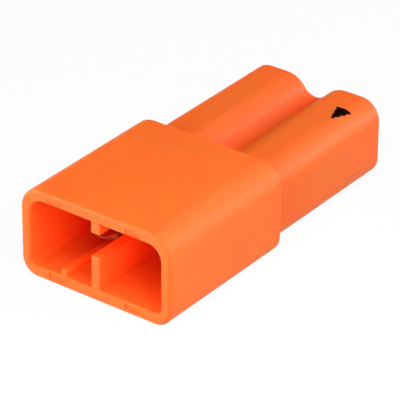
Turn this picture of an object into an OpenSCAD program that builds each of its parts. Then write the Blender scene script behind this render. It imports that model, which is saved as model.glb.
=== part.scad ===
// Two-pole push-in wire connector: a keyed hood for the mating half, and a lobed body with two wire ports.
// X is the width, Y runs from the hood's mouth to the wire ports, Z is up, and the underside lies on Z = 0.

/* [Hood] */
// Width of the hood
hood_w = 21; // [20:0.1:24]
// Height of the hood
hood_h = 11.46; // [11:0.1:14]
// Length of the hood
hood_len = 20.9; // [19:0.1:26]
// Thickness of the side walls
hood_side = 1.3; // [1:0.05:1.6]
// Thickness of the roof and of the floor
hood_roof = 1.48; // [1.2:0.05:1.7]
// Outer corner radius at the top
hood_top_r = 3; // [2.4:0.1:3.6]
// Outer corner radius at the bottom
hood_bottom_r = 2.2; // [1.6:0.1:3]
// Inner corner radius at the top
mouth_top_r = 1.9; // [1:0.1:2.4]
// Inner corner radius at the bottom
mouth_bottom_r = 0.65; // [0.4:0.05:1.2]
// Depth of the mouth, from the rim to the inner wall
mouth_depth = 14.2; // [11:0.1:14.7]
// Thickness of the inner wall that the blades pass through
inner_wall = 1.6; // [1.2:0.1:2]
// Rounding of the rim's outer edge
rim_round = 0.4; // [0.3:0.05:0.6]
// Bevel of the rim's inner edge, behind which the ribs start
rim_bevel = 0.2; // [0.1:0.05:0.3]
// Rounding of the hood's back edge
back_round = 0.3; // [0.1:0.05:0.4]
// Width of the four marks that the ejector blades leave on the rim
eject_w = 2.25; // [1.6:0.05:3]
// Height of an ejector mark
eject_h = 0.64; // [0.4:0.02:0.7]
// Depth of an ejector mark
eject_depth = 0.12; // [0.02:0.02:0.2]
// Distance of the ejector marks from the middle
eject_x = 5.4; // [4:0.05:6.5]
// Distance of the ejector marks from the mouth's edge
eject_inset = 0.22; // [0.2:0.02:0.3]

/* [Keys] */
// Thickness of the two middle ribs
key_w = 1.3; // [1:0.05:1.8]
// Height of the tall rib on the floor
tall_key_h = 4.1; // [3:0.1:5]
// Height of the short rib under the roof
roof_key_h = 1.55; // [1:0.05:2.2]
// Thickness of the low rib on the floor
low_key_w = 0.92; // [0.7:0.02:1.4]
// Height of the low rib on the floor
low_key_h = 0.78; // [0.5:0.02:1.2]
// Distance of the low rib from the middle
low_key_x = 4.52; // [3.5:0.02:6]
// Rounding of the ribs' edges
key_round = 0.24; // [0.1:0.02:0.3]

/* [Wire body] */
// Length of the body behind the hood
body_len = 22; // [20:0.1:26]
// Outer corner radius at the top
body_top_r = 2.6; // [2:0.1:3]
// Outer corner radius at the bottom
body_bottom_r = 2.4; // [1.8:0.1:3]
// Rounding of the rear end's edge
end_round = 0.35; // [0.2:0.05:0.5]
// Thickness of the wall over the springs
body_roof = 1.48; // [1.3:0.05:1.7]
// Thickness of the body's floor
body_floor = 1.5; // [1.2:0.1:1.8]
// Width of the flat along the top of each lobe
lobe_flat = 2.3; // [1.4:0.05:2.6]
// Radius of the lobes' inner shoulders
shoulder_r = 3.2; // [2.8:0.1:4]
// Depth of the valley between the lobes
valley_depth = 2.15; // [1.6:0.05:2.4]

/* [Wire ports] */
// Height of the ports above the underside
port_z = 5.3; // [5.1:0.05:5.5]
// Bore of a port
port_d = 4.2; // [3.6:0.1:4.4]
// Wall that the ports pass through
port_wall = 6.5; // [5:0.1:8]
// Diameter of the funnel's mouth
funnel_d = 5.6; // [5:0.1:6]
// Depth of the funnel
funnel_len = 1.2; // [0.8:0.1:2]

/* [Chambers] */
// Thickness of the chambers' outer walls
chamber_side = 1.25; // [1.1:0.05:1.6]
// Thickness of the wall between the chambers
chamber_middle = 3.2; // [2.6:0.1:4]
// Radius along the chamber's ceiling
chamber_r = 1.2; // [0.8:0.1:1.4]
// Depth of the ceiling groove that holds the spring
groove_depth = 0.55; // [0.45:0.05:0.7]
// Width of each ledge under the contact
ledge_w = 1; // [0.7:0.1:1.3]

/* [Contacts] */
// Thickness of the contact strip
strip_t = 0.8; // [0.6:0.05:0.9]
// Drop of the strip's top below the port's axis
strip_drop = 1.2; // [1.1:0.05:1.5]
// Width of the blade
blade_w = 4; // [3.2:0.1:4.6]
// Distance of the blade's tip behind the rim
blade_setback = 6.5; // [4:0.1:8]
// Length of the bevels at the blade's tip
tip_bevel = 1.1; // [0.5:0.1:1.4]
// Thickness of the blade at its tip
tip_t = 0.2; // [0.1:0.05:0.5]

/* [Springs] */
// Thickness of the spring strip
spring_t = 0.4; // [0.3:0.02:0.44]
// Width of the spring strip
spring_w = 3; // [2.4:0.1:3.2]
// Inner radius of the spring's bends
spring_r = 0.35; // [0.25:0.05:0.45]
// Slope of the clamping tongue
tongue_slope = 28; // [24:1:34]
// Distance from the tongue's tip to the spring's hooked leg
hook_gap = 6.6; // [5:0.1:7]

/* [Fits] */
// Gap between the spigot and the hood
fit_gap = 0.05; // [0.03:0.01:0.1]
// Gap round the contacts and the springs
slide_gap = 0.1; // [0.06:0.01:0.15]
// Height of the snap ridges on the spigot
snap_h = 0.3; // [0.2:0.05:0.4]
// Width of the snap ridges
snap_w = 8; // [5:0.5:10]
// Length of a snap ridge along the spigot
snap_len = 1.1; // [0.8:0.1:1.4]

/* [Hidden] */
$fn = 64;
// Straight steps along a bend of the spring
bend_steps = 8;
// Worked-out angles and places are rounded to this share of a degree or of a millimetre
round_steps = 100;
// Overlap of cutting shapes past what they cut
over = 1;
orange = "#f4722d";
tin = "#c8c7c1";
steel = "#9a9ea3";

total_len = hood_len + body_len;
rim_y = -total_len / 2;
back_y = rim_y + hood_len;
end_y = total_len / 2;

mouth_w = hood_w - 2 * hood_side;
mouth_h = hood_h - 2 * hood_roof;
wall_front_y = rim_y + mouth_depth;
wall_back_y = wall_front_y + inner_wall;

body_w = mouth_w - 2 * fit_gap;
body_h = hood_roof + mouth_h - fit_gap;
spigot_z = hood_roof + fit_gap;
spigot_y = wall_back_y + fit_gap;
spigot_bottom_r = mouth_bottom_r - fit_gap;
snap_y = (spigot_y + back_y - snap_len) / 2;

shoulder_x = body_w / 2 - body_top_r - lobe_flat;
// Slope where a shoulder turns into the valley
valley_slope = round(2 * atan(valley_depth / shoulder_x) * round_steps) / round_steps;

chamber_w = body_w / 2 - chamber_side - chamber_middle / 2;
port_x = (chamber_middle + chamber_w) / 2;
chamber_end_y = end_y - port_wall;
chamber_top = body_h - body_roof;
ledge_z = port_z - strip_drop - strip_t - slide_gap / 2;
strip_z = ledge_z + slide_gap / 2;
strip_top = strip_z + strip_t;
strip_w = chamber_w - 2 * slide_gap;
strip_front_y = wall_back_y + slide_gap;
strip_back_y = chamber_end_y - slide_gap;
blade_tip_y = rim_y + blade_setback;

spring_top = chamber_top - slide_gap / 2;
bend_z = spring_top - spring_t - spring_r;
bend_out_r = spring_r + spring_t;
rear_bend_y = chamber_end_y - slide_gap - bend_out_r;
tongue_len = (bend_z - bend_out_r * cos(tongue_slope) - strip_top - slide_gap / 2) / sin(tongue_slope);
tongue_tip_y = rear_bend_y + bend_out_r * sin(tongue_slope) - tongue_len * cos(tongue_slope);
hook_y = tongue_tip_y - hook_gap;

// Points along an arc about y, z
function arc(y, z, r, from, to) = [
    for (i = [0:bend_steps])
        let (a = from + (to - from) * i / bend_steps)
        [y + r * cos(a), z + r * sin(a)]
];

// Moves to a worked-out place in a coarse and a fine step, which keeps all its digits
module place(point) {
    coarse = [for (part = point) round(part * round_steps) / round_steps];
    translate(coarse) translate(point - coarse) children();
}

// Half section of a bar of length len: x is the depth from the inside out, y runs along the bar.
// The front and back edges are rounded, or the front edge opens out by a bevel.
module edge_section(depth, len, front, back, bevel) {
    straight_from = max(front, bevel);
    translate([0, straight_from]) square([depth, len - straight_from - back]);
    if (bevel > 0) {
        polygon([[0, 0], [depth + bevel, 0], [depth, bevel], [0, bevel]]);
        translate([0, -over]) square([depth + bevel, over]);
    }
    if (front > 0) {
        if (depth > front) square([depth - front, front]);
        intersection() {
            translate([depth - front, front]) circle(front);
            translate([depth - front, 0]) square(front);
        }
    }
    if (back > 0) {
        if (depth > back) translate([0, len - back]) square([depth - back, back]);
        intersection() {
            translate([depth - back, len - back]) circle(back);
            translate([depth - back, len - back]) square(back);
        }
    }
}

// Round stretch of a bar's side, about the axis through x, z, from one outward direction to another
module round_side(x, z, from, sweep, r, len, front = 0, back = 0, bevel = 0) {
    translate([x, 0, z]) rotate([-90, 0, 0])
        rotate_extrude(angle = sweep, start = -from - sweep) edge_section(r, len, front, back, bevel);
}

// Flat stretch of a bar's side that faces the outward direction and runs anticlockwise from it
module flat_side(x, z, outward, run, depth, len, front = 0, back = 0, bevel = 0) {
    translate([x, 0, z]) rotate([0, -outward, 0])
        linear_extrude(run) edge_section(depth, len, front, back, bevel);
}

// Bar along +Y from Y = 0, with its underside at Z = 0, one corner radius at the top and one at the bottom
module rounded_bar(w, h, top_r, bottom_r, len, front = 0, back = 0, bevel = 0) {
    side_h = h - top_r - bottom_r;
    inner = min(top_r, bottom_r);
    for (side = [0, 1]) mirror([side, 0, 0]) {
        round_side(w / 2 - bottom_r, bottom_r, 270, 90, bottom_r, len, front, back, bevel);
        flat_side(w / 2 - inner, bottom_r, 0, side_h, inner, len, front, back, bevel);
        round_side(w / 2 - top_r, h - top_r, 0, 90, top_r, len, front, back, bevel);
    }
    flat_side(w / 2 - top_r, h - top_r, 90, w - 2 * top_r, top_r, len, front, back, bevel);
    flat_side(-w / 2 + bottom_r, bottom_r, 270, w - 2 * bottom_r, bottom_r, len, front, back, bevel);
    translate([-w / 2 + inner, bevel > 0 ? -over : 0, bottom_r])
        cube([w - 2 * inner, bevel > 0 ? len + over : len, side_h]);
}

// Bar along +Y with two rounded lobes and a valley between them along its top
module lobed_bar(len, back) {
    top_r = body_top_r;
    bottom_r = body_bottom_r;
    side_h = body_h - top_r - bottom_r;
    inner = min(top_r, bottom_r);
    reach = shoulder_x / sin(valley_slope);
    inner_r = min(shoulder_r, reach - end_round);
    shoulder_z = body_h - inner_r;
    valley_z = shoulder_z + reach * cos(valley_slope);
    top_x = body_w / 2 - top_r;
    for (side = [0, 1]) mirror([side, 0, 0]) {
        round_side(body_w / 2 - bottom_r, bottom_r, 270, 90, bottom_r, len, 0, back);
        flat_side(body_w / 2 - inner, bottom_r, 0, side_h, inner, len, 0, back);
        round_side(top_x, body_h - top_r, 0, 90, top_r, len, 0, back);
        flat_side(top_x, shoulder_z, 90, lobe_flat, inner_r, len, 0, back);
        round_side(shoulder_x, shoulder_z, 90, valley_slope, inner_r, len, 0, back);
    }
    flat_side(-body_w / 2 + bottom_r, bottom_r, 270, body_w - 2 * bottom_r, bottom_r, len, 0, back);
    translate([-body_w / 2 + inner, 0, bottom_r]) cube([body_w - 2 * inner, len, side_h]);
    place([0, 0, valley_z]) rotate([-90, 0, 0])
        rotate_extrude(angle = 2 * valley_slope, start = 90 - valley_slope)
            place([reach, 0]) mirror([1, 0]) edge_section(inner_r, len, 0, back, 0);
}

// Keying rib along the mouth, standing on Z = 0, rounded at its top and front, with its foot in the wall
module key_rib(w, h, len) {
    foot = hood_roof / 2;
    translate([0, 0, -foot]) rounded_bar(w, h + foot, key_round, key_round, len, key_round);
}

// Snap ridge across the top of the spigot, with its lead-in towards the hood
module snap_ridge(grow) {
    base = snap_h + grow;
    translate([-snap_w / 2 - grow, snap_y, 0]) rotate([90, 0, 90]) linear_extrude(snap_w + 2 * grow)
        polygon([
            [-grow, -base],
            [-grow, 0],
            [snap_len - snap_h, base],
            [snap_len + grow, base],
            [snap_len + grow, -base]
        ]);
}

// Both snap ridges, on the spigot's top and underside
module snap_ridges(grow) {
    translate([0, 0, body_h]) snap_ridge(grow);
    translate([0, 0, spigot_z]) mirror([0, 0, 1]) snap_ridge(grow);
}

// Shallow marks of the four ejector blades, two over the mouth and two under it
module ejector_marks() {
    for (x = [-eject_x, eject_x], z = [hood_roof - eject_inset - eject_h, hood_roof + mouth_h + eject_inset])
        translate([x - eject_w / 2, rim_y - over, z]) cube([eject_w, over + eject_depth, eject_h]);
}

// Front moulding: sleeve, keying ribs and the inner wall with its blade slots
module hood() {
    slot_w = blade_w + 2 * slide_gap;
    slot_h = strip_t + 2 * slide_gap;
    socket_len = back_y - wall_back_y + over;
    color(orange) {
        difference() {
            translate([0, rim_y, 0])
                rounded_bar(hood_w, hood_h, hood_top_r, hood_bottom_r, hood_len, rim_round, back_round);
            translate([0, rim_y, hood_roof])
                rounded_bar(mouth_w, mouth_h, mouth_top_r, mouth_bottom_r, mouth_depth, 0, 0, rim_bevel);
            translate([0, wall_back_y, hood_roof])
                rounded_bar(mouth_w, mouth_h, body_top_r + fit_gap, mouth_bottom_r, socket_len);
            snap_ridges(fit_gap);
            ejector_marks();
            for (side = [-1, 1])
                translate([side * port_x - slot_w / 2, wall_front_y - over, strip_z - slide_gap])
                    cube([slot_w, inner_wall + 2 * over, slot_h]);
        }
        rib_y = rim_y + rim_bevel;
        rib_len = wall_front_y + inner_wall / 2 - rib_y;
        translate([0, rib_y, hood_roof]) key_rib(key_w, tall_key_h, rib_len);
        translate([0, rib_y, hood_roof + mouth_h]) mirror([0, 0, 1]) key_rib(key_w, roof_key_h, rib_len);
        translate([-low_key_x, rib_y, hood_roof]) key_rib(low_key_w, low_key_h, rib_len);
    }
}

// Space inside one lobe: room over the contact, groove for the spring, trough under the contact
module chamber() {
    len = chamber_end_y - spigot_y + over;
    room_h = chamber_top - groove_depth - ledge_z;
    groove_w = spring_w + 2 * slide_gap;
    trough_w = chamber_w - 2 * ledge_w;
    trough_r = mouth_bottom_r;
    translate([0, spigot_y - over, 0]) {
        translate([0, 0, ledge_z]) rounded_bar(chamber_w, room_h, chamber_r, slide_gap, len);
        translate([-groove_w / 2, 0, ledge_z + room_h / 2])
            cube([groove_w, len, chamber_top - ledge_z - room_h / 2]);
        translate([0, 0, body_floor])
            rounded_bar(trough_w, ledge_z - body_floor + room_h / 2, trough_r, trough_r, len);
    }
}

// Wire port through the rear wall, with a funnel at its mouth
module wire_port() {
    translate([0, chamber_end_y - over, port_z]) rotate([-90, 0, 0])
        cylinder(d = port_d, h = port_wall + 2 * over);
    translate([0, end_y - funnel_len, port_z]) rotate([-90, 0, 0])
        cylinder(d1 = port_d, d2 = funnel_d, h = funnel_len);
}

// Rear moulding: lobed body, spigot, contact chambers and wire ports
module wire_body() {
    step_y = back_y + fit_gap;
    root_w = body_w - 2 * body_top_r;
    color(orange) difference() {
        union() {
            translate([0, step_y, 0]) lobed_bar(end_y - step_y, end_round);
            translate([0, step_y, spigot_z]) mirror([0, 1, 0])
                rounded_bar(body_w, body_h - spigot_z, body_top_r, spigot_bottom_r, step_y - spigot_y);
            translate([-root_w / 2, step_y - over, body_bottom_r])
                cube([root_w, 2 * over, body_h / 2 - body_bottom_r]);
            snap_ridges(0);
        }
        for (side = [-1, 1]) translate([side * port_x, 0, 0]) {
            chamber();
            wire_port();
        }
    }
}

// Flat contact: a blade with a four-sided tip in front, and a wider strip with a slot for the spring's hook
module contact() {
    blade_back_y = strip_front_y + over;
    blade_len = blade_back_y - blade_tip_y;
    strip_len = strip_back_y - strip_front_y;
    color(tin) translate([0, 0, strip_z]) difference() {
        union() {
            intersection() {
                linear_extrude(strip_t) polygon([
                    [-blade_w / 2 + tip_bevel, blade_tip_y],
                    [blade_w / 2 - tip_bevel, blade_tip_y],
                    [blade_w / 2, blade_tip_y + tip_bevel],
                    [blade_w / 2, blade_back_y],
                    [-blade_w / 2, blade_back_y],
                    [-blade_w / 2, blade_tip_y + tip_bevel]
                ]);
                translate([-blade_w, blade_tip_y, 0]) rotate([90, 0, 90]) linear_extrude(2 * blade_w)
                    polygon([
                        [0, (strip_t - tip_t) / 2],
                        [tip_bevel, 0],
                        [blade_len, 0],
                        [blade_len, strip_t],
                        [tip_bevel, strip_t],
                        [0, (strip_t + tip_t) / 2]
                    ]);
            }
            translate([-strip_w / 2, strip_front_y, 0]) cube([strip_w, strip_len, strip_t]);
        }
        translate([-spring_w / 2 - slide_gap, hook_y - slide_gap, -over])
            cube([spring_w + 2 * slide_gap, spring_t + 2 * slide_gap, strip_t + 2 * over]);
    }
}

// Clamp spring, one bent strip: hooked leg, top leg along the ceiling, rear bend and sloping tongue
module clamp_spring() {
    front_bend_y = hook_y + bend_out_r;
    tongue_from = tongue_slope - 90;
    root = [rear_bend_y, bend_z];
    across = [cos(tongue_from), sin(tongue_from)];
    tongue = -tongue_len * [cos(tongue_slope), sin(tongue_slope)];
    color(steel) translate([-spring_w / 2, 0, 0]) rotate([90, 0, 90]) linear_extrude(spring_w)
        polygon(concat(
            [[hook_y, strip_z]],
            arc(front_bend_y, bend_z, bend_out_r, 180, 90),
            arc(rear_bend_y, bend_z, bend_out_r, 90, tongue_from),
            [root + bend_out_r * across + tongue],
            [root + spring_r * across + tongue],
            arc(rear_bend_y, bend_z, spring_r, tongue_from, 90),
            arc(front_bend_y, bend_z, spring_r, 90, 180),
            [[hook_y + spring_t, strip_z]]
        ));
}

module contact_left() { translate([-port_x, 0, 0]) contact(); }
module contact_right() { translate([port_x, 0, 0]) contact(); }
module spring_left() { translate([-port_x, 0, 0]) clamp_spring(); }
module spring_right() { translate([port_x, 0, 0]) clamp_spring(); }

hood();
wire_body();
contact_left();
contact_right();
spring_left();
spring_right();
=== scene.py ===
"""Looks of the push-in wire connector: finishes, printed mark, parting flash, studio light and camera.

Everything is in metres, in the frame of the CAD model: X is the width, Y runs from the hood's mouth to the
wire ports, Z is up and the connector lies on Z = 0.
"""
import math

import bmesh
import bpy
from mathutils import Matrix, Vector


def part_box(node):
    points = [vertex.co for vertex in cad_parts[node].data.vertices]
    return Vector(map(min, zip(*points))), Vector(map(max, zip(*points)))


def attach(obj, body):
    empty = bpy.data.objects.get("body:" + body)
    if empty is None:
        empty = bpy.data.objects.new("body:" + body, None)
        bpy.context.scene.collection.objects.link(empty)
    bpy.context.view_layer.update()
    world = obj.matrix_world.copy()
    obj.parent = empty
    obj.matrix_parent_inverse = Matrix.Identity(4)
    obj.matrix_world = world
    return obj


MM = 0.001
WHITE = (1, 1, 1, 1)

# Camera, at the photograph's angle: angles in degrees, lens and sensor width in millimetres
CAMERA_AZIMUTH = 36.597
CAMERA_ELEVATION = 29.823
CAMERA_ROLL = 0.441
CAMERA_DISTANCE = 344.487 * MM
CAMERA_AIM = Vector((0.359, -2.42, 4.388)) * MM
CAMERA_LENS = 269.707
CAMERA_SENSOR = 36

# Softboxes, each with its direction in degrees, its distance, its width and height, and its level.
# At level 1 a white surface that faces the softbox renders as white.
SOFTBOXES = {
    "key_softbox": dict(azimuth=36, elevation=60, distance=0.09, size=(0.07, 0.07), level=0.57),
    "front_softbox": dict(azimuth=36, elevation=25, distance=0.09, size=(0.07, 0.07), level=0.43),
    "right_softbox": dict(azimuth=75, elevation=35, distance=0.20, size=(0.16, 0.16), level=0.44),
    "right_back_softbox": dict(azimuth=150, elevation=10, distance=0.32, size=(0.18, 0.18), level=0.80),
    "high_back_softbox": dict(azimuth=180, elevation=56, distance=0.32, size=(0.18, 0.18), level=0.22),
    "left_back_softbox": dict(azimuth=-95, elevation=10, distance=0.32, size=(0.18, 0.18), level=0.18),
    "left_front_strip": dict(azimuth=-45, elevation=4, distance=0.32, size=(0.18, 0.04), level=1.12),
}

# Bounces of the light. The mouth needs many, because its walls light each other.
BOUNCES = 20
DIFFUSE_BOUNCES = 16

# Floor: its glow and its white where it is seen directly, and its greys for the light that it throws back
FLOOR_SIZE = 6.0
FLOOR_GLOW = 0.93
FLOOR_WHITE = (0.85, 0.85, 0.85, 1)
FLOOR_GREYS = ((0.43, 0.43, 0.43, 1), (0.47, 0.47, 0.47, 1))
FLOOR_FIBRE_SIZE = 30 * MM
FLOOR_ROUGHNESS = 0.9
FLOOR_GLOSS = 0.1

# Orange plastic: the two tints that it varies between, and the colours that it takes on in places: pigment
# specks, a painted highlight on the hood's rear edge, painted shade behind the hood, in the valley and deep
# in the mouth, and ejector marks
PLASTIC_TINTS = ((0.92, 0.134, 0.012, 1), (0.96, 0.158, 0.017, 1))
SPECK_COLOUR = (0.80, 0.075, 0.002, 1)
EDGE_HIGHLIGHT_COLOUR = (0.96, 0.165, 0.01, 1)
SHADE_BEHIND_HOOD_COLOUR = (0.80, 0.10, 0.003, 1)
VALLEY_SHADE_COLOUR = (0.92, 0.08, 0.003, 1)
MOUTH_SHADE_COLOUR = (0.985, 0.095, 0.005, 1)
EJECTOR_COLOUR = (0.72, 0.085, 0.003, 1)

# Orange plastic: how strongly those colours show where they are at their fullest
SPECK_STRENGTH = 0.12
SHADE_BEHIND_HOOD_STRENGTH = 0.6
VALLEY_SHADE_STRENGTH = 0.7
EJECTOR_STRENGTH = 0.3

# Orange plastic: clouds, flow lines, pigment specks and spark grain. The clouds have their share of the tint
# and the grain has its share of the relief. The flow lines make up the rest of both.
CLOUD_SIZE = 5 * MM
CLOUD_SHARE = 0.7
FLOW_SIZE = 0.9 * MM
FLOW_STRETCH = (1, 8, 1)
SPECK_SIZE = 0.16 * MM
SPECK_STOPS = ((0.66, 0), (0.72, 1))
GRAIN_SIZE = 0.09 * MM
GRAIN_SHARE = 0.8
GRAIN_DEPTH = 0.006 * MM

# Orange plastic: roughness, gloss, the share of the light that goes into it, and how far the red, the green
# and the blue of that light travel inside
PLASTIC_ROUGHNESS = 0.46
CLOUD_ROUGHNESS = 0.06
GRAIN_ROUGHNESS = 0.08
PLASTIC_GLOSS = 0.26
LIGHT_INSIDE = 0.8
LIGHT_TRAVEL = (3.0, 0.2, 0.05)
LIGHT_TRAVEL_UNIT = 1 * MM

# Tin plate of the contacts: two tints, streaks along the strip and dull patches
TIN_TINTS = ((0.42, 0.41, 0.385, 1), (0.60, 0.59, 0.565, 1))
TIN_STREAK_SIZE = 0.12 * MM
TIN_STREAK_STRETCH = (1, 30, 1)
TIN_STREAK_SHARE = 0.5
TIN_STREAK_DEPTH = 0.003 * MM
TIN_PATCH_SIZE = 1.6 * MM
TIN_ROUGHNESS = 0.16
TIN_STREAK_ROUGHNESS = 0.12
TIN_PATCH_ROUGHNESS = 0.08

# Steel of the springs: two tints, fine lines along the strip and a haze
STEEL_TINTS = ((0.46, 0.47, 0.49, 1), (0.70, 0.71, 0.73, 1))
STEEL_LINE_SIZE = 0.07 * MM
STEEL_LINE_STRETCH = (1, 40, 40)
STEEL_LINE_SHARE = 0.6
STEEL_LINE_DEPTH = 0.002 * MM
STEEL_HAZE_SIZE = 1.2 * MM
STEEL_ROUGHNESS = 0.18
STEEL_LINE_ROUGHNESS = 0.16
STEEL_HAZE_ROUGHNESS = 0.06

# Ink of the printed mark: its full and its thin tint, where it is thin, and its grain
INK_TINTS = ((0.004, 0.0006, 0.0008, 1), (0.03, 0.002, 0.001, 1))
INK_THIN_SIZE = 0.22 * MM
INK_THIN_STOPS = ((0.52, 0), (0.8, 1))
INK_THIN_STRENGTH = 0.6
INK_GRAIN_SIZE = 0.06 * MM
INK_GRAIN_DEPTH = 0.004 * MM
INK_ROUGHNESS = 0.6
INK_GRAIN_ROUGHNESS = 0.2
INK_GLOSS = 0.03

# Margin at the borders of the tinted places, so that a face on a border falls on the side that it belongs to
PLACE_MARGIN = 0.02 * MM

# Ejector marks on the hood's rim, as in the CAD model: their places from the rim's middle, width and height,
# and how far in from the rim's face their finish reaches, which is a little past their depth
EJECTOR_X = 5.4 * MM
EJECTOR_Z = 4.79 * MM
EJECTOR_WIDTH = 2.25 * MM
EJECTOR_HEIGHT = 0.64 * MM
EJECTOR_REACH = 0.18 * MM

# Seam behind the hood: width of the painted highlight on the hood's rear edge, and reach of the painted
# shade on the wire body
EDGE_HIGHLIGHT_WIDTH = 0.25 * MM
SHADE_BEHIND_HOOD_REACH = 8.5 * MM

# Wire body, as in the CAD model: height of the lobes and radius of their outer corners
BODY_HEIGHT = 9.93 * MM
BODY_TOP_R = 2.6 * MM

# Valley between the lobes, as in the CAD model: half its width and its depth. The last value is the stretch
# at the rear end over which its painted shade fades out.
VALLEY_X = 4.25 * MM
VALLEY_DEPTH = 2.15 * MM
VALLEY_SHADE_FADE = 1.5 * MM

# Mouth of the hood, as in the CAD model
MOUTH_WIDTH = 18.4 * MM
MOUTH_HEIGHT = 8.5 * MM
MOUTH_DEPTH = 14.2 * MM

# Printed mark on the right lobe: a triangle that points to the hood. Its width is measured round the corner.
# It stands proud of the lobe by its lift, and its underside lies as deep in it. Its base bulges, and a few
# teeth make its sides ragged.
MARK_TIP_Y = 14.62 * MM
MARK_BASE_Y = 17.3 * MM
MARK_MIDDLE = 6.75 * MM
MARK_WIDTH = 2.1 * MM
MARK_TIP_WIDTH = 0.26 * MM
MARK_LIFT = 0.012 * MM
MARK_BULGE = 0.1 * MM
MARK_RAGGED = 0.075 * MM
MARK_TEETH = 3.2
MARK_ROWS = 64
MARK_COLUMNS = 24

# Flash along the wire body's parting line, on both sides, where the rounding of the bottom corners ends.
# Its foot lies in the wall. Its height wavers by the uneven share, in swaying waves that are given in
# radians over its length.
FLASH_START_Y = 13.6 * MM
FLASH_END_Y = 19.6 * MM
FLASH_Z = 2.4 * MM
FLASH_WIDTH = 0.16 * MM
FLASH_HEIGHT = 0.05 * MM
FLASH_FOOT = 0.02 * MM
FLASH_UNEVEN = 0.2
FLASH_WAVES = 19
FLASH_SWAY = 4
FLASH_SWAY_WAVES = 7
FLASH_STATIONS = 72

# Edges sharper than this stay sharp in the shading
SHARP_ANGLE = math.radians(40)

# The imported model, and the places that the looks take from it
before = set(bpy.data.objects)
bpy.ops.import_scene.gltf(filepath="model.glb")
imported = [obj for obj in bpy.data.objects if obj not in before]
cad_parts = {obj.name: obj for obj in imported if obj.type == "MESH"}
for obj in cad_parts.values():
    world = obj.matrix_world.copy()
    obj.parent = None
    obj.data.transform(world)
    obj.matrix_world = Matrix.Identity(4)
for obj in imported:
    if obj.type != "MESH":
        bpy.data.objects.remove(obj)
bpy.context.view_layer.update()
hood_low, hood_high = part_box("hood")
body_low, body_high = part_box("wire_body")
hood_middle_z = hood_high.z / 2


class Wire:
    """An output socket in a finish. Sums, products and comparisons of wires and numbers add Math nodes."""

    def __init__(self, finish, socket):
        self.finish = finish
        self.socket = socket

    def math(self, operation, *values):
        """The output of a Math node on those values."""
        return self.finish.node("ShaderNodeMath", {"operation": operation}, dict(enumerate(values)))

    def clamped(self):
        """The same value, held between 0 and 1."""
        return self.finish.node("ShaderNodeClamp", None, {"Value": self})

    def at_least(self, other):
        """The larger of two values."""
        return self.math("MAXIMUM", self, other)

    def __add__(self, other):
        return self.math("ADD", self, other)

    def __radd__(self, other):
        return self.math("ADD", other, self)

    def __sub__(self, other):
        return self.math("SUBTRACT", self, other)

    def __rsub__(self, other):
        return self.math("SUBTRACT", other, self)

    def __mul__(self, other):
        return self.math("MULTIPLY", self, other)

    def __rmul__(self, other):
        return self.math("MULTIPLY", other, self)

    def __truediv__(self, other):
        return self.math("DIVIDE", self, other)

    def __rtruediv__(self, other):
        return self.math("DIVIDE", other, self)

    def __gt__(self, other):
        return self.math("GREATER_THAN", self, other)

    def __lt__(self, other):
        return self.math("LESS_THAN", self, other)

    def __abs__(self):
        return self.math("ABSOLUTE", self)


class Finish:
    """One material, built node by node."""

    def __init__(self, name):
        self.material = bpy.data.materials.new(name)
        self.material.use_nodes = True
        self.tree = self.material.node_tree
        self.tree.nodes.clear()

    def node(self, kind, settings=None, sockets=None, out=0):
        """Adds a node: its settings, then its sockets' values or links. Gives an output, if it has any."""
        made = self.tree.nodes.new(kind)
        for name, value in (settings or {}).items():
            if name == "stops":
                self.set_stops(made.color_ramp, value)
            else:
                setattr(made, name, value)
        for key, value in (sockets or {}).items():
            socket = self.pick(made.inputs, key)
            if isinstance(value, Wire):
                self.tree.links.new(value.socket, socket)
            else:
                socket.default_value = value
        return Wire(self, self.pick(made.outputs, out)) if made.outputs else None

    @staticmethod
    def pick(sockets, key):
        """A socket by its place or its name, among those that the node's settings leave in use."""
        in_use = [socket for socket in sockets if socket.enabled]
        if isinstance(key, int):
            return in_use[key]
        return next(socket for socket in in_use if socket.name == key)

    @staticmethod
    def set_stops(ramp, stops):
        """Sets a ramp's stops, each given as its position and grey level."""
        while len(ramp.elements) < len(stops):
            ramp.elements.new(1)
        for element, (position, level) in zip(ramp.elements, stops):
            element.position = position
            element.color = (level, level, level, 1)

    def place(self):
        """The point on the object, in metres."""
        return self.node("ShaderNodeTexCoord", out="Object")

    def axes(self, place):
        """The three coordinates of a point."""
        return [self.node("ShaderNodeSeparateXYZ", None, {"Vector": place}, out=axis) for axis in "XYZ"]

    def drawn_out(self, place, along):
        """The same point with its pattern drawn out, by the factor given for each axis."""
        scale = [1 / factor for factor in along]
        return self.node("ShaderNodeMapping", None, {"Vector": place, "Scale": scale})

    def noise(self, place, size, detail=3.0, roughness=0.5):
        """Cloudy noise around 0.5, with blotches of about that size."""
        sockets = {"Vector": place, "Scale": 1 / size, "Detail": detail, "Roughness": roughness}
        return self.node("ShaderNodeTexNoise", None, sockets)

    def ramp(self, value, stops):
        """A value read off a ramp of grey levels."""
        return self.node("ShaderNodeValToRGB", {"stops": stops}, {"Fac": value})

    def mix(self, factor, first, second):
        """A colour between two others."""
        sockets = {"Factor": factor, "A": first, "B": second}
        return self.node("ShaderNodeMix", {"data_type": "RGBA"}, sockets)

    def bump(self, height, depth):
        """A normal for relief of that depth in metres, from a height between 0 and 1."""
        return self.node("ShaderNodeBump", None, {"Strength": 1.0, "Distance": depth, "Height": height})

    def surface(self, **sockets):
        """The shader of a surface. Underscores in a socket's name stand for spaces."""
        named = {name.replace("_", " "): value for name, value in sockets.items()}
        return self.node("ShaderNodeBsdfPrincipled", None, named)

    def output(self, shader):
        """Ends the finish in that shader, and gives the material."""
        self.node("ShaderNodeOutputMaterial", None, {"Surface": shader})
        return self.material


def blend(first, second, share):
    """A value made of two others, with that share of the first."""
    return share * first + (1 - share) * second


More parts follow.
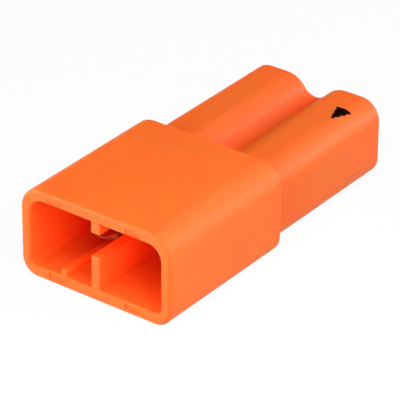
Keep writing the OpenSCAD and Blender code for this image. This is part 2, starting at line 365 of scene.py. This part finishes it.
def ejector_marks(x, y, z):
    """1 in the four shallow marks that the ejector blades leave on the hood's rim, 0 elsewhere."""
    beside = abs(abs(x) - EJECTOR_X) < EJECTOR_WIDTH / 2
    level = abs(abs(z - hood_middle_z) - EJECTOR_Z) < EJECTOR_HEIGHT / 2
    return beside * level * (y < hood_low.y + EJECTOR_REACH)


def seam_highlight_and_shade(y):
    """Two masks: a painted highlight on the hood's sharp rear edge, and painted shade on the wire body
    behind it, fading away from the hood.
    """
    behind = y > hood_high.y + PLACE_MARGIN
    edge = (y > hood_high.y - EDGE_HIGHLIGHT_WIDTH) * (1 - behind)
    fade = (1 - (y - hood_high.y) / SHADE_BEHIND_HOOD_REACH).clamped()
    return edge, behind * fade


def valley(x, y, z):
    """Painted shade in the valley between the lobes: how deep a point lies there, 0 on the lobes, 1 at the
    bottom.
    """
    deep = ((BODY_HEIGHT - z) / VALLEY_DEPTH).clamped()
    fade = ((body_high.y - y) / VALLEY_SHADE_FADE).clamped()
    between_lobes = abs(x) < VALLEY_X
    above_floor = z > BODY_HEIGHT - VALLEY_DEPTH - PLACE_MARGIN
    behind_hood = y > hood_high.y + PLACE_MARGIN
    return deep * fade * between_lobes * above_floor * behind_hood


def mouth(x, y, z):
    """Painted shade in the hood's mouth: how deep a point lies there, 0 at the rim, 1 at the inner wall."""
    deep = ((y - hood_low.y) / MOUTH_DEPTH).clamped()
    between_sides = abs(x) < MOUTH_WIDTH / 2 + PLACE_MARGIN
    between_roof_and_floor = abs(z - hood_middle_z) < MOUTH_HEIGHT / 2 + PLACE_MARGIN
    ahead_of_wall = y < hood_low.y + MOUTH_DEPTH + PLACE_MARGIN
    return deep * between_sides * between_roof_and_floor * ahead_of_wall


def orange_plastic():
    """Satin moulded plastic: clouds, flow lines, pigment specks, a fine spark grain, ejector marks, a
    painted highlight and painted shade.
    """
    finish = Finish("orange_plastic_finish")
    place = finish.place()
    clouds = finish.noise(place, CLOUD_SIZE)
    flow = finish.noise(finish.drawn_out(place, FLOW_STRETCH), FLOW_SIZE)
    specks = finish.ramp(finish.noise(place, SPECK_SIZE, detail=1), SPECK_STOPS)
    grain = finish.noise(place, GRAIN_SIZE, roughness=0.6)
    x, y, z = finish.axes(place)
    painted_edge_highlight, behind_hood = seam_highlight_and_shade(y)
    colour = finish.mix(blend(clouds, flow, CLOUD_SHARE), *PLASTIC_TINTS)
    for amount, tint in (
        (specks * SPECK_STRENGTH, SPECK_COLOUR),
        # Painted highlight along the hood's rear edge
        (painted_edge_highlight, EDGE_HIGHLIGHT_COLOUR),
        # Painted shade on the wire body close behind the hood
        (behind_hood * SHADE_BEHIND_HOOD_STRENGTH, SHADE_BEHIND_HOOD_COLOUR),
        # Painted shade in the valley between the lobes
        (valley(x, y, z) * VALLEY_SHADE_STRENGTH, VALLEY_SHADE_COLOUR),
        # Painted shade deep in the hood's mouth
        (mouth(x, y, z), MOUTH_SHADE_COLOUR),
        (ejector_marks(x, y, z) * EJECTOR_STRENGTH, EJECTOR_COLOUR),
    ):
        colour = finish.mix(amount, colour, tint)
    shader = finish.surface(
        Base_Color=colour,
        Roughness=PLASTIC_ROUGHNESS + clouds * CLOUD_ROUGHNESS + grain * GRAIN_ROUGHNESS,
        Normal=finish.bump(blend(grain, flow, GRAIN_SHARE), GRAIN_DEPTH),
        Specular_IOR_Level=PLASTIC_GLOSS,
        Subsurface_Weight=LIGHT_INSIDE,
        Subsurface_Radius=LIGHT_TRAVEL,
        Subsurface_Scale=LIGHT_TRAVEL_UNIT,
    )
    return finish.output(shader)


def tinned_contact():
    """Tin plate: rolled streaks along the strip, dull patches and a soft metal shine."""
    finish = Finish("tinned_contact_finish")
    place = finish.place()
    streaks = finish.noise(finish.drawn_out(place, TIN_STREAK_STRETCH), TIN_STREAK_SIZE)
    patches = finish.noise(place, TIN_PATCH_SIZE, detail=4)
    shader = finish.surface(
        Base_Color=finish.mix(blend(streaks, patches, TIN_STREAK_SHARE), *TIN_TINTS),
        Metallic=1.0,
        Roughness=TIN_ROUGHNESS + streaks * TIN_STREAK_ROUGHNESS + patches * TIN_PATCH_ROUGHNESS,
        Normal=finish.bump(streaks, TIN_STREAK_DEPTH),
    )
    return finish.output(shader)


def spring_steel():
    """Bright rolled spring strip: fine lines along its length and a faint haze."""
    finish = Finish("spring_steel_finish")
    place = finish.place()
    lines = finish.noise(finish.drawn_out(place, STEEL_LINE_STRETCH), STEEL_LINE_SIZE)
    haze = finish.noise(place, STEEL_HAZE_SIZE)
    shader = finish.surface(
        Base_Color=finish.mix(blend(lines, haze, STEEL_LINE_SHARE), *STEEL_TINTS),
        Metallic=1.0,
        Roughness=STEEL_ROUGHNESS + lines * STEEL_LINE_ROUGHNESS + haze * STEEL_HAZE_ROUGHNESS,
        Normal=finish.bump(lines, STEEL_LINE_DEPTH),
    )
    return finish.output(shader)


def black_ink():
    """Pad-printed ink: near black, a little thin in places."""
    finish = Finish("black_ink_finish")
    place = finish.place()
    thin = finish.ramp(finish.noise(place, INK_THIN_SIZE), INK_THIN_STOPS)
    grain = finish.noise(place, INK_GRAIN_SIZE, detail=2)
    shader = finish.surface(
        Base_Color=finish.mix(thin * INK_THIN_STRENGTH, *INK_TINTS),
        Roughness=INK_ROUGHNESS + grain * INK_GRAIN_ROUGHNESS,
        Normal=finish.bump(grain, INK_GRAIN_DEPTH),
        Specular_IOR_Level=INK_GLOSS,
    )
    return finish.output(shader)


def seen_directly(finish):
    """1 for camera rays, mirror-like reflections and rays through glass, 0 for the light that bounces."""
    camera, glossy, through = [
        finish.node("ShaderNodeLightPath", out=kind)
        for kind in ("Is Camera Ray", "Is Glossy Ray", "Is Transmission Ray")
    ]
    return camera.at_least(glossy).at_least(through)


def pale_floor():
    """White table: it shows as white to the camera and in reflections, and keeps a soft shadow."""
    finish = Finish("pale_floor_finish")
    seen = seen_directly(finish)
    fibres = finish.noise(finish.place(), FLOOR_FIBRE_SIZE, detail=2)
    thrown_back = finish.mix(fibres, *FLOOR_GREYS)
    paper = finish.surface(
        Base_Color=finish.mix(seen, thrown_back, FLOOR_WHITE),
        Roughness=FLOOR_ROUGHNESS,
        Specular_IOR_Level=FLOOR_GLOSS,
    )
    glow = finish.node("ShaderNodeEmission", None, {"Color": WHITE, "Strength": 1.0})
    shader = finish.node("ShaderNodeMixShader", None, {0: seen * FLOOR_GLOW, 1: paper, 2: glow})
    return finish.output(shader)


def mesh_piece(name, points, faces, material):
    """A closed mesh on the orange plastic: faces turned outward, smooth but for its sharp edges."""
    shape = bmesh.new()
    corners = [shape.verts.new(point) for point in points]
    for face in faces:
        shape.faces.new([corners[index] for index in face]).smooth = True
    bmesh.ops.recalc_face_normals(shape, faces=shape.faces)
    mesh = bpy.data.meshes.new(name)
    shape.to_mesh(mesh)
    shape.free()
    mesh.set_sharp_from_angle(angle=SHARP_ANGLE)
    mesh.materials.append(material)
    piece = bpy.data.objects.new(name, mesh)
    bpy.context.scene.collection.objects.link(piece)
    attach(piece, "root")


def lobe_skin(across, along, lift):
    """A point over the right lobe: across runs from the middle along the flat top, then round the corner."""
    corner_x = body_high.x - BODY_TOP_R
    turn = max(0.0, (across - corner_x) / BODY_TOP_R)
    reach = BODY_TOP_R + lift
    x = min(across, corner_x) + reach * math.sin(turn)
    z = BODY_HEIGHT - BODY_TOP_R + reach * math.cos(turn)
    return Vector((x, along, z))


def mark_point(row, column, lift):
    """A point of the printed mark: rows run from its tip to its base, columns from one side to the other."""
    share = row / MARK_ROWS
    side = 2 * column / MARK_COLUMNS - 1
    tooth = MARK_RAGGED * math.cos(2 * math.pi * MARK_TEETH * share)
    half = (MARK_TIP_WIDTH + share * (MARK_WIDTH - MARK_TIP_WIDTH)) / 2 + tooth
    along = MARK_TIP_Y + share * (MARK_BASE_Y - MARK_TIP_Y)
    bulge = MARK_BULGE * share * (1 - side * side)
    return lobe_skin(MARK_MIDDLE + side * half, along + bulge, lift)


def printed_mark(material):
    """Triangle of ink on the right lobe that points to the hood, with a bulging base and ragged sides."""
    points = [
        mark_point(row, column, lift)
        for lift in (MARK_LIFT, -MARK_LIFT)
        for row in range(MARK_ROWS + 1)
        for column in range(MARK_COLUMNS + 1)
    ]
    wide = MARK_COLUMNS + 1
    sheet = wide * (MARK_ROWS + 1)
    faces = []
    for row in range(MARK_ROWS):
        for column in range(MARK_COLUMNS):
            corner = row * wide + column
            quad = (corner, corner + 1, corner + wide + 1, corner + wide)
            faces.append(quad)
            faces.append(tuple(sheet + index for index in reversed(quad)))
    rim = list(range(wide))
    rim += [row * wide + MARK_COLUMNS for row in range(1, MARK_ROWS + 1)]
    rim += [MARK_ROWS * wide + column for column in range(MARK_COLUMNS - 1, -1, -1)]
    rim += [row * wide for row in range(MARK_ROWS - 1, 0, -1)]
    for here, after in zip(rim, rim[1:] + rim[:1]):
        faces.append((here, here + sheet, after + sheet, after))
    mesh_piece("printed_mark", points, faces, material)


def flash_section(share, side_x, outward):
    """The three corners of the flash at a share of its length: its crest, and the two sides of its foot."""
    along = FLASH_START_Y + share * (FLASH_END_Y - FLASH_START_Y)
    waver = math.sin(FLASH_WAVES * share + FLASH_SWAY * math.sin(FLASH_SWAY_WAVES * share))
    swell = math.sqrt(math.sin(math.pi * share)) * (1 - FLASH_UNEVEN + FLASH_UNEVEN * waver)
    crest = side_x + outward * FLASH_HEIGHT * swell
    foot = side_x - outward * FLASH_FOOT
    corners = ((crest, 0), (foot, FLASH_WIDTH / 2), (foot, -FLASH_WIDTH / 2))
    return [Vector((x, along, FLASH_Z + rise)) for x, rise in corners]


def parting_flash(name, side_x, outward, material):
    """Thin ridge of flash along the parting line low on one side: uneven, and gone at its ends."""
    shares = [station / FLASH_STATIONS for station in range(FLASH_STATIONS + 1)]
    sections = [flash_section(share, side_x, outward) for share in shares]
    points = [corner for section in sections for corner in section]
    ring = len(sections[0])
    last = ring * FLASH_STATIONS
    faces = []
    for start in range(0, last, ring):
        for edge in range(ring):
            here = start + edge
            after = start + (edge + 1) % ring
            faces.append((here, after, after + ring, here + ring))
    faces.append(tuple(reversed(range(ring))))
    faces.append(tuple(range(last, last + ring)))
    mesh_piece(name, points, faces, material)


def direction(azimuth, elevation):
    """Unit vector from the connector outward: azimuth 0 is in front of the mouth, 90 on the right."""
    turn = math.radians(azimuth)
    lift = math.radians(elevation)
    return Vector((math.sin(turn) * math.cos(lift), -math.cos(turn) * math.cos(lift), math.sin(lift)))


def photo_camera():
    """Camera at the photograph's angle, distance and roll."""
    data = bpy.data.cameras.new("photo_camera")
    data.lens = CAMERA_LENS
    data.sensor_width = CAMERA_SENSOR
    camera = bpy.data.objects.new("photo_camera", data)
    back = direction(CAMERA_AZIMUTH, CAMERA_ELEVATION)
    right = Vector((0, 0, 1)).cross(back).normalized()
    axes = Matrix((right, back.cross(right), back)).transposed().to_4x4()
    roll = Matrix.Rotation(math.radians(CAMERA_ROLL), 4, "Z")
    camera.matrix_world = Matrix.Translation(CAMERA_AIM + CAMERA_DISTANCE * back) @ axes @ roll
    bpy.context.scene.collection.objects.link(camera)
    bpy.context.scene.camera = camera


def lay_floor():
    """Wide pale floor under the connector."""
    half = FLOOR_SIZE / 2
    corners = [(-half, -half, 0), (half, -half, 0), (half, half, 0), (-half, half, 0)]
    mesh = bpy.data.meshes.new("floor")
    mesh.from_pydata(corners, [], [(0, 1, 2, 3)])
    mesh.materials.append(pale_floor())
    floor = bpy.data.objects.new("floor", mesh)
    bpy.context.scene.collection.objects.link(floor)


def darken_world():
    """A world that gives no light, so that all of it comes from the softboxes."""
    world = bpy.data.worlds.new("studio_world")
    world.use_nodes = True
    world.node_tree.nodes["Background"].inputs["Strength"].default_value = 0
    bpy.context.scene.world = world


def softbox(name, azimuth, elevation, distance, size, level):
    """An area light that faces the connector, and that the camera doesn't see."""
    light = bpy.data.lights.new(name, "AREA")
    light.shape = "RECTANGLE"
    light.size, light.size_y = size
    light.energy = level * (math.pi * distance) ** 2
    lamp = bpy.data.objects.new(name, light)
    back = direction(azimuth, elevation)
    turn = back.to_track_quat("Z", "Y").to_matrix().to_4x4()
    lamp.matrix_world = Matrix.Translation(CAMERA_AIM + distance * back) @ turn
    lamp.visible_camera = False
    bpy.context.scene.collection.objects.link(lamp)


def studio():
    """Pale floor, dark world, softboxes, and colours that render as they are written."""
    lay_floor()
    darken_world()
    for name, setting in SOFTBOXES.items():
        softbox(name, **setting)
    scene = bpy.context.scene
    scene.view_settings.view_transform = "Standard"
    scene.cycles.max_bounces = BOUNCES
    scene.cycles.diffuse_bounces = DIFFUSE_BOUNCES


def dress(material, *nodes):
    """Gives CAD nodes a finish in their own material slots."""
    for name in nodes:
        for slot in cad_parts[name].material_slots:
            slot.material = material


photo_camera()
studio()
moulding = orange_plastic()
dress(moulding, "hood", "wire_body")
dress(tinned_contact(), "contact_left", "contact_right")
dress(spring_steel(), "spring_left", "spring_right")
printed_mark(black_ink())
parting_flash("parting_flash_right", body_high.x, 1, moulding)
parting_flash("parting_flash_left", body_low.x, -1, moulding)
